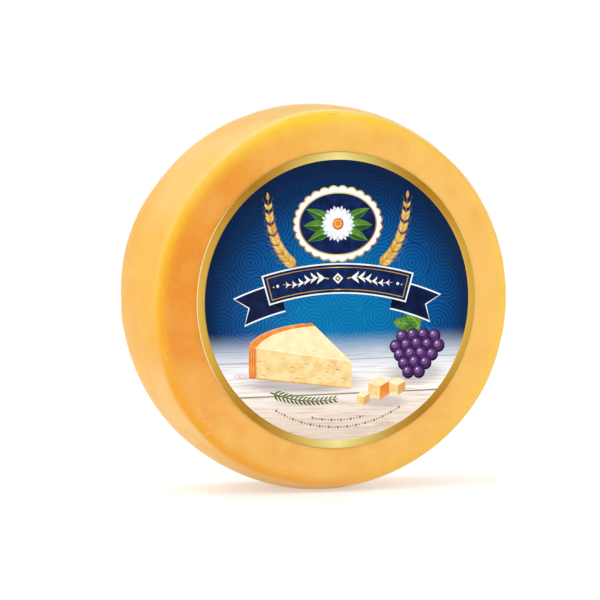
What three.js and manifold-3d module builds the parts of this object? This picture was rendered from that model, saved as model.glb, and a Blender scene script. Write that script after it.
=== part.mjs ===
// A whole parmesan cheese wheel, standing on its rim, with a round label stuck on its front face.
//
// The wheel has two flat faces, softly rounded edges and a barrelled side, and its rim is a little uneven,
// as a pressed cheese is. Its weight has pressed a small flat foot where it stands.
// The label is a thin round card with a softened outer edge.
//
// Units are millimetres and +Z is up. The wheel's axis runs along Y and the labelled face looks along -Y.
// The origin is the middle of the object's length and width, at the height of the flat foot.
import * as THREE from "three";
import { mergeVertices } from "three/addons/utils/BufferGeometryUtils.js";
import Module from "manifold-3d";

// Driving dimensions of the wheel.
const bellyRadius = 120; // at the middle of the side, where the wheel is widest
const wheelThickness = 84.6; // from face to face
const bellyBulge = 7; // how far the belly stands out beyond the faces' edges
const edgeRound = 5.5; // radius of the soft edge between a face and the side
const footDepth = 1.3; // how much the foot is pressed flat

// Driving dimensions of the label.
const labelRadius = 91.2;
const labelThickness = 1.2;
const labelEdgeRound = 0.6;

// Low waves round the rim, which make it slightly out of round: lobes is how many there are in a turn,
// height is in millimetres, and phase and drift turn a wave round the rim and skew it from front to back.
const rimWaves = [
  { lobes: 2, height: 0.21, phase: 3.13, drift: 0.2 },
  { lobes: 3, height: 0.12, phase: -2.4, drift: -0.5 },
  { lobes: 4, height: 0.15, phase: 0.43, drift: 0.4 },
  { lobes: 6, height: 0.15, phase: 3, drift: 0.6 },
  { lobes: 7, height: 0.11, phase: -2.15, drift: -0.9 },
];

// Parts of the turn where the front edge stands farther out or in: middle is the angle from the top and spread is
// how far the swell reaches to each side, both in degrees, and height is in millimetres.
const frontSwells = [
  { middle: -122, spread: 62, height: 5.2 },
  { middle: -6, spread: 38, height: 3.2 },
  { middle: -36, spread: 24, height: -1 },
];

// Mesh fineness.
const wheelSegments = 112;
const sideSteps = 14;
const edgeSteps = 5;
const labelSegments = 96;
const labelEdgeSteps = 2;

const halfThickness = wheelThickness / 2;
const edgeRadius = bellyRadius - bellyBulge;
const flatFaceRadius = edgeRadius - edgeRound;

const wasm = await Module();
wasm.setup();

// How far the belly stands out at height y along the axis: nothing at the faces, most in the middle.
function bulgeAt(y) {
  return bellyBulge * (1 - (y / halfThickness) ** 2);
}

// Half of the wheel's section, from the middle of the front face round the side to the middle of the back.
function wheelProfile() {
  const straightHalf = halfThickness - edgeRound;
  const points = [new THREE.Vector2(0, -halfThickness)];
  for (let i = 0; i <= edgeSteps; i += 1) {
    const turn = (Math.PI / 2) * (i / edgeSteps);
    const y = -halfThickness + edgeRound * (1 - Math.cos(turn));
    points.push(new THREE.Vector2(flatFaceRadius + edgeRound * Math.sin(turn) + bulgeAt(y), y));
  }
  for (let i = 1; i < sideSteps; i += 1) {
    const y = -straightHalf + 2 * straightHalf * (i / sideSteps);
    points.push(new THREE.Vector2(edgeRadius + bulgeAt(y), y));
  }
  for (let i = edgeSteps; i >= 0; i -= 1) {
    const turn = (Math.PI / 2) * (i / edgeSteps);
    const y = halfThickness - edgeRound * (1 - Math.cos(turn));
    points.push(new THREE.Vector2(flatFaceRadius + edgeRound * Math.sin(turn) + bulgeAt(y), y));
  }
  points.push(new THREE.Vector2(0, halfThickness));
  return points;
}

// The height of the rim's waves at an angle round the axis, measured from the top, and a height y along it.
function rimWave(angle, y) {
  const along = y / halfThickness;
  return rimWaves.reduce(
    (sum, wave) => sum + wave.height * Math.sin(wave.lobes * angle + wave.phase + wave.drift * along),
    0,
  );
}

// How far the front edge's swells reach at an angle from the top and a height y along the axis. They are full at
// the front face and fade out at the belly.
function frontSwell(angle, y) {
  const share = Math.max(0, -y / halfThickness) ** 2;
  return frontSwells.reduce((sum, swell) => {
    const turn = THREE.MathUtils.radToDeg(angle) - swell.middle;
    const away = Math.abs(THREE.MathUtils.euclideanModulo(turn + 180, 360) - 180);
    const inside = Math.min(1, away / swell.spread);
    return sum + share * swell.height * Math.cos((Math.PI / 2) * inside) ** 2;
  }, 0);
}

// Moves all points but those on the axis in and out by the waves and swells. The faces stay flat.
function makeUneven(geometry) {
  const position = geometry.getAttribute("position");
  for (let i = 0; i < position.count; i += 1) {
    const x = position.getX(i);
    const y = position.getY(i);
    const z = position.getZ(i);
    const radius = Math.hypot(x, z);
    if (radius > 1) {
      const angle = Math.atan2(x, z);
      const scale = 1 + (rimWave(angle, y) + frontSwell(angle, y)) / radius;
      position.setX(i, x * scale);
      position.setZ(i, z * scale);
    }
  }
}

function solidOf(geometry) {
  const bare = geometry.clone();
  bare.deleteAttribute("normal");
  bare.deleteAttribute("uv");
  const merged = mergeVertices(bare, 1e-3);
  return new wasm.Manifold(
    new wasm.Mesh({
      numProp: 3,
      vertProperties: new Float32Array(merged.getAttribute("position").array),
      triVerts: new Uint32Array(merged.index.array),
    }),
  );
}

function geometryOf(solid) {
  const mesh = solid.getMesh();
  const geometry = new THREE.BufferGeometry();
  geometry.setAttribute("position", new THREE.BufferAttribute(new Float32Array(mesh.vertProperties), 3));
  geometry.setIndex(new THREE.BufferAttribute(new Uint32Array(mesh.triVerts), 1));
  geometry.computeVertexNormals();
  return geometry;
}

// The wheel round the Y axis, with the foot cut flat below it.
function cheeseWheel() {
  const round = new THREE.LatheGeometry(wheelProfile(), wheelSegments);
  makeUneven(round);
  const blockSize = 2 * bellyRadius;
  const block = new THREE.BoxGeometry(blockSize, blockSize, blockSize);
  block.translate(0, 0, footDepth - bellyRadius - blockSize / 2);
  const rind = new THREE.MeshStandardMaterial({ color: 0xf7bb62, roughness: 0.45, metalness: 0 });
  const wheel = new THREE.Mesh(geometryOf(solidOf(round).subtract(solidOf(block))), rind);
  wheel.name = "cheese_wheel";
  return wheel;
}

// The label lies flat on the front face, with its printed side to the front.
function faceLabel() {
  const back = -halfThickness;
  const front = back - labelThickness;
  const points = [new THREE.Vector2(0, front)];
  for (let i = 0; i <= labelEdgeSteps; i += 1) {
    const turn = (Math.PI / 2) * (i / labelEdgeSteps);
    points.push(
      new THREE.Vector2(
        labelRadius - labelEdgeRound * (1 - Math.sin(turn)),
        front + labelEdgeRound * (1 - Math.cos(turn)),
      ),
    );
  }
  points.push(new THREE.Vector2(labelRadius, back), new THREE.Vector2(0, back));
  const print = new THREE.MeshStandardMaterial({ color: 0x14508c, roughness: 0.3, metalness: 0 });
  const label = new THREE.Mesh(new THREE.LatheGeometry(points, labelSegments), print);
  label.name = "face_label";
  return label;
}

const cheese = new THREE.Group();
cheese.add(cheeseWheel(), faceLabel());

// Stands the foot at the height of the origin, with the object's length and width centred on it.
const bounds = new THREE.Box3().setFromObject(cheese);
const centre = bounds.getCenter(new THREE.Vector3());
cheese.position.set(-centre.x, -centre.y, -bounds.min.z);

export default cheese;
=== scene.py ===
# A whole round of hard cheese standing on its rim, with a round printed label on its front face.
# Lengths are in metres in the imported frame. The label's print is laid out in millimetres from its middle,
# with x to the reader's right and z up.
import bmesh
import bpy
import math
import numpy as np
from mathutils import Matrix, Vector, noise
from mathutils.geometry import delaunay_2d_cdt


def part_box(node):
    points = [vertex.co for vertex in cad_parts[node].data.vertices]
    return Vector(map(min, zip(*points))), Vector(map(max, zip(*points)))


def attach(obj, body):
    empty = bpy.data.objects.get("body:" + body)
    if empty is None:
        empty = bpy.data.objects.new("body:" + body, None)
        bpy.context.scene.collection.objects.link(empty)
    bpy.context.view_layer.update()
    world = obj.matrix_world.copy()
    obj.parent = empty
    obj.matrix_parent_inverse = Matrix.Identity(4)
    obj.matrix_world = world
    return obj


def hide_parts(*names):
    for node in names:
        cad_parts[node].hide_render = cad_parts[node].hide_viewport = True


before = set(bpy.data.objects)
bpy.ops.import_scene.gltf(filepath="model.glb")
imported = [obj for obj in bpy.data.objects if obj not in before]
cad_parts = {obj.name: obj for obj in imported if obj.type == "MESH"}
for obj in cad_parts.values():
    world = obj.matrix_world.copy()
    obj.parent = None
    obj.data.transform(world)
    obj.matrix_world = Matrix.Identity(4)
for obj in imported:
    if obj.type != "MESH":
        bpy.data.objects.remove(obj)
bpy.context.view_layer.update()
print("frame loaded")

mm = 0.001
wheelLow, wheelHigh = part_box("cheese_wheel")
labelLow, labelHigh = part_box("face_label")
axisX = (labelLow.x + labelHigh.x) / 2  # the wheel's axis runs along Y through here
axisZ = (labelLow.z + labelHigh.z) / 2
wheelMiddle = Vector((axisX, (wheelLow.y + wheelHigh.y) / 2, axisZ))
halfThickness = (wheelHigh.y - wheelLow.y) / 2


def addObject(name, data, location=(0, 0, 0), rotation=None):
    made = bpy.data.objects.new(name, data)
    made.location = location
    if rotation is not None:
        made.rotation_mode = "QUATERNION"
        made.rotation_quaternion = rotation
    bpy.context.scene.collection.objects.link(made)
    return made


# Camera

cameraView = {
    "azimuth": -20.1,  # degrees round from straight in front, towards the reader's left
    "elevation": 3.75,
    "distance": 2.82,
    "lens": 272,
    "sensorWidth": 36,
    "clipEnd": 200,
    "asideRight": -8.35 * mm,  # how far the camera stands to the right of the line to the wheel's middle
    "asideUp": -2.45 * mm,
}


def makeCamera(view):
    azimuth = math.radians(view["azimuth"])
    elevation = math.radians(view["elevation"])
    back = Vector((
        math.sin(azimuth) * math.cos(elevation),
        -math.cos(azimuth) * math.cos(elevation),
        math.sin(elevation),
    ))
    turn = (-back).to_track_quat("-Z", "Y")
    aside = turn @ Vector((view["asideRight"], view["asideUp"], 0))
    data = bpy.data.cameras.new("camera")
    data.lens = view["lens"]
    data.sensor_width = view["sensorWidth"]
    data.clip_end = view["clipEnd"]
    bpy.context.scene.camera = addObject("camera", data, wheelMiddle + back * view["distance"] + aside, turn)


makeCamera(cameraView)
print("camera placed")


# Helpers for materials

def addNode(tree, kind, **settings):
    made = tree.nodes.new(kind)
    for name, value in settings.items():
        setattr(made, name, value)
    return made


def feed(tree, socket, value):
    # Links another node's output, or sets a fixed value.
    if isinstance(value, bpy.types.NodeSocket):
        tree.links.new(value, socket)
    else:
        socket.default_value = value


def mathOf(tree, operation, first, second=0.0, clamp=False):
    made = addNode(tree, "ShaderNodeMath", operation=operation, use_clamp=clamp)
    feed(tree, made.inputs[0], first)
    feed(tree, made.inputs[1], second)
    return made.outputs[0]


def timesOf(tree, first, second):
    return mathOf(tree, "MULTIPLY", first, second)


def vectorOf(tree, operation, first, second=(0, 0, 0)):
    made = addNode(tree, "ShaderNodeVectorMath", operation=operation)
    feed(tree, made.inputs[0], first)
    made.inputs[1].default_value = second
    return made.outputs["Value" if operation in ("LENGTH", "DISTANCE") else "Vector"]


def stepOf(tree, value, low, high, outLow=0.0, outHigh=1.0):
    # Turns a value smoothly from outLow, at low, to outHigh, at high.
    made = addNode(tree, "ShaderNodeMapRange", interpolation_type="SMOOTHSTEP")
    for socket, fed in zip(made.inputs, (value, low, high, outLow, outHigh)):
        feed(tree, socket, fed)
    return made.outputs["Result"]


def noiseOf(tree, place, scale, detail=2.0, roughness=0.5, distortion=0.0):
    made = addNode(tree, "ShaderNodeTexNoise")
    names = ("Vector", "Scale", "Detail", "Roughness", "Distortion")
    for name, value in zip(names, (place, scale, detail, roughness, distortion)):
        feed(tree, made.inputs[name], value)
    return made.outputs["Fac"]


def patternOf(tree, place, fineness, shown, values=(0.0, 1.0), stretch=(1, 1, 1)):
    # A noise, of which the stretch that is shown is drawn out between two values. Fineness is its scale,
    # detail, roughness and distortion.
    return stepOf(tree, noiseOf(tree, vectorOf(tree, "MULTIPLY", place, stretch), *fineness), *shown, *values)


def mixOf(tree, share, first, second, blend="MIX"):
    made = addNode(tree, "ShaderNodeMix", data_type="RGBA", blend_type=blend)
    feed(tree, made.inputs[0], share)
    feed(tree, made.inputs[6], first)
    feed(tree, made.inputs[7], second)
    return made.outputs[2]


def objectPlace(tree):
    return addNode(tree, "ShaderNodeTexCoord").outputs["Object"]


def attributeOf(tree, name):
    return addNode(tree, "ShaderNodeAttribute", attribute_name=name).outputs["Fac"]


def bumpOf(tree, shader, height, distance, strength):
    made = addNode(tree, "ShaderNodeBump")
    made.inputs["Strength"].default_value = strength
    made.inputs["Distance"].default_value = distance
    feed(tree, made.inputs["Height"], height)
    feed(tree, shader.inputs["Normal"], made.outputs["Normal"])


def newMaterial(name, **values):
    # A principled material whose fixed values are set on the shader's own sockets.
    material = bpy.data.materials.new(name)
    material.use_nodes = True
    shader = material.node_tree.nodes["Principled BSDF"]
    for socketName, value in values.items():
        shader.inputs[socketName.replace("_", " ")].default_value = value
    return material, material.node_tree, shader


# Rind

rind = {
    "bellyRadius": 120 * mm,
    "bellyBulge": 7 * mm,  # how far the belly stands out beyond the faces' edges
    "edgeRound": 5.5 * mm,
    "rimWaves": [  # lobes in a turn, height, phase, drift from front to back
        (2, 0.21 * mm, 3.13, 0.2),
        (3, 0.12 * mm, -2.4, -0.5),
        (4, 0.15 * mm, 0.43, 0.4),
        (6, 0.15 * mm, 3.0, 0.6),
        (7, 0.11 * mm, -2.15, -0.9),
    ],
    "frontSwells": [  # degrees from the top, degrees to each side, height at the front edge
        (-122, 62, 5.2 * mm),
        (-6, 38, 3.2 * mm),
        (-36, 24, -1.0 * mm),
    ],
    "pressedPlaces": [  # on the back half of the side: degrees from the top, degrees to each side, depth
        (-19, 9, 0.28 * mm),
        (-51, 12, 0.46 * mm),
        (-86, 12, 0.44 * mm),
    ],
    "pressedFrom": 0.3 * halfThickness,  # they set in across the middle of the side, this far each way
    "pressedRadii": (104 * mm, 110 * mm),  # and on the back face between these radii
    "around": 672,  # mesh steps in a turn
    "sideRows": 72,
    "edgeRows": 14,
    "backFaceRows": 30,
    "frontFaceRows": 14,
    "frontRowPower": 0.35,  # below 1, the front face's rows crowd towards its edge
    "smoothUnderLabel": 93 * mm,  # the front face has no relief inside this radius
    "layer": 0.07 * mm,  # the whole relief is cut in from the solid by at least this
    "relief": [  # depth of each noise, its size and where it is taken from
        (0.30 * mm, 42 * mm, 3.1),
        (0.11 * mm, 13 * mm, 17.3),
        (0.035 * mm, 3.4 * mm, 41.9),
    ],
    "seed": 11,
}

edgeRadius = rind["bellyRadius"] - rind["bellyBulge"]
flatRadius = edgeRadius - rind["edgeRound"]

# Marks in the rind: how many, their half length and half width, their depth, and where they lie.
rindMarks = [
    {"count": 26, "length": (7, 17), "width": (6, 12), "depth": (0.12, 0.34), "where": "all"},
    {"count": 150, "length": (1.3, 2.8), "width": (1.2, 2.0), "depth": (0.10, 0.30), "where": "all"},
    {"count": 44, "length": (2.2, 6.0), "width": (1.3, 2.2), "depth": (0.18, 0.45), "where": "edges"},
    {"count": 40, "length": (7, 22), "width": (0.9, 1.3), "depth": (0.06, 0.14), "where": "all"},
]


def bulgeAt(y):
    return rind["bellyBulge"] * (1 - (y / halfThickness) ** 2)


def rindRows():
    # Rows from the middle of the front face to the middle of the back: radius, height along the axis, and a
    # share that is 1 in the middle of an edge round and 0 on the faces and the side.
    steps, edgeSteps = rind["frontFaceRows"], rind["edgeRows"]
    frontFace = [(flatRadius * (i / steps) ** rind["frontRowPower"], -halfThickness, 0) for i in range(steps)]
    frontEdge, backEdge = [], []
    for i in range(edgeSteps + 1):
        turn = math.pi / 2 * i / edgeSteps
        y = halfThickness - rind["edgeRound"] * (1 - math.cos(turn))
        radius = flatRadius + rind["edgeRound"] * math.sin(turn) + bulgeAt(y)
        frontEdge.append((radius, -y, math.sin(2 * turn)))
        backEdge.insert(0, (radius, y, math.sin(2 * turn)))
    side = []
    for i in range(1, rind["sideRows"]):
        y = (halfThickness - rind["edgeRound"]) * (2 * i / rind["sideRows"] - 1)
        side.append((edgeRadius + bulgeAt(y), y, 0))
    steps = rind["backFaceRows"]
    backFace = [(flatRadius * (1 - i / steps), halfThickness, 0) for i in range(1, steps + 1)]
    return np.array(frontFace + frontEdge + side + backEdge + backFace)


def smoothShare(value, low, high):
    share = np.clip((value - low) / (high - low), 0, 1)
    return share * share * (3 - 2 * share)


def blended(first, second, share):
    return first * (1 - share) + second * share


def rimWave(angle, y):
    wave = np.zeros_like(angle)
    for lobes, height, phase, drift in rind["rimWaves"]:
        wave += height * np.sin(lobes * angle + phase + drift * y / halfThickness)
    return wave


def heightsRound(angle, places):
    # Adds up soft humps round the turn, each a middle and a reach in degrees and a height.
    total = np.zeros_like(angle)
    for middle, spread, height in places:
        away = np.abs((np.degrees(angle) - middle + 180) % 360 - 180)
        total += height * np.cos(math.pi / 2 * np.clip(away / spread, 0, 1)) ** 2
    return total


def frontSwell(angle, y):
    return heightsRound(angle, rind["frontSwells"]) * np.clip(-y / halfThickness, 0, None) ** 2


def onTurn(outwards, along, angle):
    # Points or directions at angles from the top, given how far they reach from the axis and along it.
    return np.stack([outwards * np.sin(angle), along + 0 * angle, outwards * np.cos(angle)], 2)


def noiseAt(points, size, shift):
    moved = points.reshape(-1, 3) / size + shift
    return np.array([noise.noise(Vector(p)) for p in moved]).reshape(points.shape[:2])


def markDepths(points, weights, edgeShare):
    # Dents, pits, nicks and scuffs, spread by area with a seeded draw.
    draw = np.random.default_rng(rind["seed"])
    depth = np.zeros(points.shape[:2])
    for mark in rindMarks:
        atEdges = mark["where"] == "edges"
        weight = weights * edgeShare ** 2 if atEdges else weights
        weight = weight / weight.sum()
        for _ in range(mark["count"]):
            row = draw.choice(len(weight), p=weight)
            middle = points[row, draw.integers(rind["around"])]
            length = draw.uniform(*mark["length"]) * mm
            width = draw.uniform(*mark["width"]) * mm
            markDepth = draw.uniform(*mark["depth"]) * mm
            along = draw.normal(size=3)
            if atEdges:
                along = np.array([middle[2], 0, -middle[0]])
            along = along / np.linalg.norm(along)
            offset = points - middle
            lengthwise = offset @ along
            squared = (offset ** 2).sum(2) - lengthwise ** 2
            distance = (lengthwise / length) ** 2 + squared / width ** 2
            depth += markDepth * np.clip(1 - distance, 0, 1) ** 2
    return depth


def reliefDepth(points, radius, angle, y, marks):
    # How deep the rind is cut in. Nothing is cut under the label.
    depth = rind["layer"] + marks
    for deepest, size, shift in rind["relief"]:
        depth = depth + deepest * (noiseAt(points, size, shift) * 0.5 + 0.5)
    onBackHalf = smoothShare(y, -rind["pressedFrom"], rind["pressedFrom"])
    onBackHalf = onBackHalf * smoothShare(radius, *rind["pressedRadii"])
    depth = depth + heightsRound(angle, rind["pressedPlaces"]) * onBackHalf
    clearOfLabel = smoothShare(radius, rind["smoothUnderLabel"], flatRadius)
    return depth * np.where(y <= -halfThickness, clearOfLabel, 1.0)


# How the tones change round the turn: degrees from the top, how deep the face's orange is, how yellow and how
# amber its edge is, how pale the side is, and the radius in millimetres where the edge's tone starts.
# The deep orange is partly the rind's own and partly painted shade, deepest on the face's left. The yellow is
# partly the rind's own edge and partly a painted glow of light through the edge, strongest at the top. The
# pale
# side is painted light: paler at the top and low down, and a deeper orange on the left between them.
rimTones = [
    (-180, 0.08, 0.00, 0.25, 0.65, 104),
    (-150, 0.25, 0.00, 0.72, 0.80, 104),
    (-130, 0.45, 0.05, 0.95, 0.60, 105),
    (-115, 0.68, 0.05, 0.90, 0.35, 105),
    (-100, 0.98, 0.30, 0.35, 0.00, 105),
    (-70, 1.06, 0.50, 0.00, 0.05, 106),
    (-60, 0.97, 0.54, 0.10, 0.52, 105),
    (-50, 0.88, 0.56, 0.20, 0.50, 105),
    (-30, 0.58, 0.66, 0.18, 0.75, 102),
    (-10, 0.54, 1.00, 0.00, 1.00, 101),
    (10, 0.26, 0.92, 0.00, 0.80, 103),
    (30, 0.00, 0.50, 0.00, 0.60, 106),
    (50, 0.00, 0.30, 0.00, 0.50, 107),
    (90, 0.00, 0.48, 0.00, 0.70, 103),
    (130, 0.00, 0.40, 0.00, 0.80, 103),
    (165, 0.00, 0.22, 0.10, 0.70, 102),
]

toneSpread = {
    "fullRadius": 113.2 * mm,  # the edge's tone is full from here outwards
    "behindFace": (2.6 * mm, 10.5 * mm),  # on the side it starts to fade, and is gone, this far behind a face
    "wander": 2.0 * mm,  # it wanders to and fro by this much
    "wanderSize": 20 * mm,
    "wanderShift": 63.5,  # where that noise is taken from
    "paintedHighlightBehind": 5.4 * mm,  # a painted highlight, a pale line along the edge, runs this far behind a face
    "paintedHighlightWidth": 3.0 * mm,
    "sideFrom": (0.72, 0.97),  # the side's tone sets in as the rind turns outwards
    "faceYellow": 0.2,  # where the edge is yellowest, the face is a little too, sharing the edge's painted glow
    "deepAtBack": 0.4,  # what these two tones come to at the back of the wheel
    "amberAtBack": 0.3,
    "yellowAtBack": 0.25,  # and the share that is left of these two there
    "paintedHighlightAtBack": 0.5,
    "fullMark": 0.4 * mm,  # a mark this deep shows its whole tone
}


def toneRound(angle, column):
    places = [row[0] for row in rimTones]
    return np.interp(np.degrees(angle), places, [row[column] for row in rimTones], period=360)


def rindTones(points, rowRadius, outwards, angle, y, marks):
    # For each point, the shares by which the rind's material mixes its tones.
    spread = toneSpread
    toBack = smoothShare(y, -halfThickness, halfThickness)
    onSide = smoothShare(np.abs(outwards), *spread["sideFrom"])
    wander = noiseAt(points, spread["wanderSize"], spread["wanderShift"]) * spread["wander"]
    behind = halfThickness - np.abs(y) + wander
    band = smoothShare(rowRadius, toneRound(angle, 5) * mm, spread["fullRadius"])
    band = band * (1 - smoothShare(behind, *spread["behindFace"]))
    # A painted highlight: a pale line along the outer part of each edge round, strongest where the edge is
    # yellowest.
    paintedHighlight = np.exp(-((behind - spread["paintedHighlightBehind"]) / spread["paintedHighlightWidth"]) ** 2)
    deepOrangeAndShade, yellowAndGlow, amber, paintedPaleSide = [toneRound(angle, column) for column in (1, 2, 3, 4)]
    yellowest = yellowAndGlow ** 3
    faceYellow = spread["faceYellow"] * yellowest * (1 - onSide)
    return {
        # the face's deeper orange: partly the rind's own, partly painted shade, deepest on the left
        "deepOrangeAndShade": blended(deepOrangeAndShade, spread["deepAtBack"], toBack),
        # the edge's yellow: partly the rind's own edge, partly a painted glow of light through it
        "yellowAndGlow": np.clip(yellowAndGlow * band + faceYellow, 0, 1) * blended(1, spread["yellowAtBack"], toBack),
        "amber": band * blended(amber, spread["amberAtBack"], toBack),
        "paintedHighlight": yellowest * paintedHighlight * blended(1, spread["paintedHighlightAtBack"], toBack),
        "side": onSide + 0 * angle,
        # painted light: the side is paler at the top and low down
        "paintedPaleSide": paintedPaleSide * onSide,
        "mark": marks / spread["fullMark"],
    }


def latheMesh(name, rings, firstPoint, lastPoint):
    # Joins rings of points, each a closed turn, and closes both ends with a point.
    rowCount, around, _ = rings.shape
    vertices = [tuple(firstPoint), *map(tuple, rings.reshape(-1, 3)), tuple(lastPoint)]
    end = 1 + (rowCount - 1) * around
    faces = []
    for j in range(around):
        after = (j + 1) % around
        faces.append((0, 1 + after, 1 + j))
        for here in range(1, end, around):
            there = here + around
            faces.append((here + j, here + after, there + after, there + j))
        faces.append((end + j, end + after, len(vertices) - 1))
    mesh = bpy.data.meshes.new(name)
    mesh.from_pydata(vertices, [], faces)
    return mesh


def makeRind():
    rows = rindRows()
    rowRadius, rowY, edgeShare = rows.T
    tangent = np.gradient(rows[:, :2], axis=0)
    rowLength = np.linalg.norm(tangent, axis=1)
    outwards, alongAxis = [way[:, None] for way in (tangent[:, 1] / rowLength, -tangent[:, 0] / rowLength)]
    angle = np.tile(np.linspace(0, 2 * math.pi, rind["around"], endpoint=False), (len(rows), 1))
    y = rowY[:, None] + 0 * angle
    clearOfLabel = smoothShare(rowRadius, rind["smoothUnderLabel"], flatRadius)[:, None]
    radius = rowRadius[:, None] + (rimWave(angle, y) + frontSwell(angle, y)) * clearOfLabel
    smooth = onTurn(radius, y, angle)
    marks = markDepths(smooth, rowRadius * rowLength, edgeShare)
    depth = reliefDepth(smooth, radius, angle, y, marks)
    points = smooth - onTurn(outwards, alongAxis, angle) * depth[:, :, None] + np.array(wheelMiddle)
    points[:, :, 2] = np.maximum(points[:, :, 2], wheelLow.z)  # the flat foot
    mesh = latheMesh("wheelRind", points[1:-1], points[0, 0], points[-1, 0])
    mesh.polygons.foreach_set("use_smooth", np.ones(len(mesh.polygons), bool))
    for name, values in rindTones(smooth, rowRadius[:, None], outwards, angle, y, marks).items():
        attribute = mesh.attributes.new(name, "FLOAT", "POINT")
        inner = values[1:-1].reshape(-1)
        attribute.data.foreach_set("value", np.concatenate([values[0, :1], inner, values[-1, :1]]))
    mesh.materials.append(rindMaterial())
    return addObject("wheelRind", mesh)


rindFinish = {
    # the face's deeper orange, partly painted shade
    "deepOrangeAndShadeTone": (0.605, 0.198, 0.001, 1),
    "goldTone": (0.695, 0.395, 0.091, 1),
    "sideTone": (0.71, 0.355, 0.028, 1),
    # the side's colour where painted light makes it paler
    "paintedPaleSideTone": (0.77, 0.482, 0.148, 1),
    # the edge's yellow, partly a painted glow of light through the thin edge
    "yellowAndGlowTone": (0.74, 0.478, 0.016, 1),
    "amberTone": (0.67, 0.275, 0.008, 1),
    # the painted highlight's pale colour
    "paintedHighlightTone": (0.80, 0.69, 0.30, 1),
    "markTone": (0.66, 0.250, 0.035, 1),
    "bloomTone": (0.80, 0.560, 0.240, 1),
    "sideShare": 0.92,
    "paintedHighlightShare": 0.8,
    "markShares": (0.10, 1.0, 0.0, 0.35),  # from and to what depth a mark's tone sets in, and by what shares
    "patchDepth": 0.11,  # how far the patches move the face's orange each way
    "patchRoughness": (0.50, 0.38),
    "grainScale": 950,
    "grainShare": 0.35,
    "poreScale": 260,
    "bumpHeight": 0.16 * mm,
    "bumpStrength": 0.6,
}

# Patterns in the rind's colour, as patternOf takes them.
rindPatterns = {
    "broad": {"fineness": (13, 3, 0.55), "shown": (0.36, 0.66), "values": (-0.12, 0.12)},
    "patches": {"fineness": (52, 4, 0.55, 0.4), "shown": (0.24, 0.78)},
    "drift": {"fineness": (17, 3, 0.5, 0.5), "shown": (0.35, 0.65), "values": (-0.28, 0.28)},
    "streaks": {
        "stretch": (60, 240, 60), "fineness": (1.6, 3, 0.6, 0.6), "shown": (0.50, 0.85), "values": (0, 0.11)},
    "flecks": {"fineness": (420, 2, 0.6), "shown": (0.52, 0.74), "values": (0, 0.05)},
    "scuffs": {
        "stretch": (85, 230, 130), "fineness": (1, 2, 0.5, 1.6), "shown": (0.66, 0.80), "values": (0, 0.22)},
}


def rindMaterial():
    material, tree, shader = newMaterial(
        "waxyRind",
        Subsurface_Weight=0.18,
        Subsurface_Radius=(1.0, 0.42, 0.12),
        Subsurface_Scale=4 * mm,
        Coat_Weight=0.06,
        Coat_Roughness=0.3,
        Specular_IOR_Level=0.20,
    )
    finish = rindFinish
    place = objectPlace(tree)
    pattern = {name: patternOf(tree, place, **settings) for name, settings in rindPatterns.items()}
    blotch = stepOf(tree, pattern["patches"], 0, 1, -finish["patchDepth"], finish["patchDepth"])
    # The face's deeper orange: partly painted shade, deepest on the left, with random broad patches of the
    # rind's own added.
    deepOrangeAndShade = mathOf(tree, "ADD", attributeOf(tree, "deepOrangeAndShade"), pattern["broad"], clamp=True)
    deepOrangeAndShade = mathOf(tree, "ADD", deepOrangeAndShade, blotch, clamp=True)
    # Painted light on the side, paler at the top and low down, with a random drift added.
    paintedPaleSide = mathOf(tree, "ADD", attributeOf(tree, "paintedPaleSide"), pattern["drift"], clamp=True)
    side = mixOf(tree, paintedPaleSide, finish["sideTone"], finish["paintedPaleSideTone"])
    layers = [  # each tone over the ones before it, by its share
        (deepOrangeAndShade, finish["deepOrangeAndShadeTone"]),
        (timesOf(tree, attributeOf(tree, "side"), finish["sideShare"]), side),
        (attributeOf(tree, "amber"), finish["amberTone"]),
        # the edge's yellow, partly a painted glow of light through it
        (attributeOf(tree, "yellowAndGlow"), finish["yellowAndGlowTone"]),
        # the painted highlight along the edge
        (timesOf(tree, attributeOf(tree, "paintedHighlight"), finish["paintedHighlightShare"]), finish["paintedHighlightTone"]),
        (pattern["streaks"], finish["bloomTone"]),
        (pattern["flecks"], finish["bloomTone"]),
        (pattern["scuffs"], finish["bloomTone"]),
        (stepOf(tree, attributeOf(tree, "mark"), *finish["markShares"]), finish["markTone"]),
    ]
    colour = finish["goldTone"]
    for share, tone in layers:
        colour = mixOf(tree, share, colour, tone)
    feed(tree, shader.inputs["Base Color"], colour)
    feed(tree, shader.inputs["Roughness"], stepOf(tree, pattern["patches"], 0, 1, *finish["patchRoughness"]))
    grain = noiseOf(tree, place, finish["grainScale"], 3, 0.55)
    pores = noiseOf(tree, place, finish["poreScale"], 3, 0.6)
    height = mathOf(tree, "ADD", timesOf(tree, grain, finish["grainShare"]), pores)
    bumpOf(tree, shader, height, finish["bumpHeight"], finish["bumpStrength"])
    return material


wheelRind = makeRind()
print("rind made", len(wheelRind.data.polygons), "faces")


# Shapes for the label's print. A place is a pair of numbers or a Vector, and an outline is a list of places.

def shifted(place, across, up):
    return (place[0] + across, place[1] + up)


def between(first, second, share):
    return (first[0] + (second[0] - first[0]) * share, first[1] + (second[1] - first[1]) * share)


def roundFrom(middle, reach, angle):
    return shifted(middle, reach * math.cos(angle), reach * math.sin(angle))


def leftOf(direction):
    return Vector((-direction.y, direction.x))


def ellipseShape(middle, halfWidth, halfHeight, count, tilt=0.0):
    turn = math.radians(tilt)
    points = []
    for i in range(count):
        angle = 2 * math.pi * i / count
        across = halfWidth * math.cos(angle)
        up = halfHeight * math.sin(angle)
        points.append((
            middle[0] + across * math.cos(turn) - up * math.sin(turn),
            middle[1] + across * math.sin(turn) + up * math.cos(turn),
        ))
    return points


def dotShape(middle, radius, count):
    return ellipseShape(middle, radius, radius, count)


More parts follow.
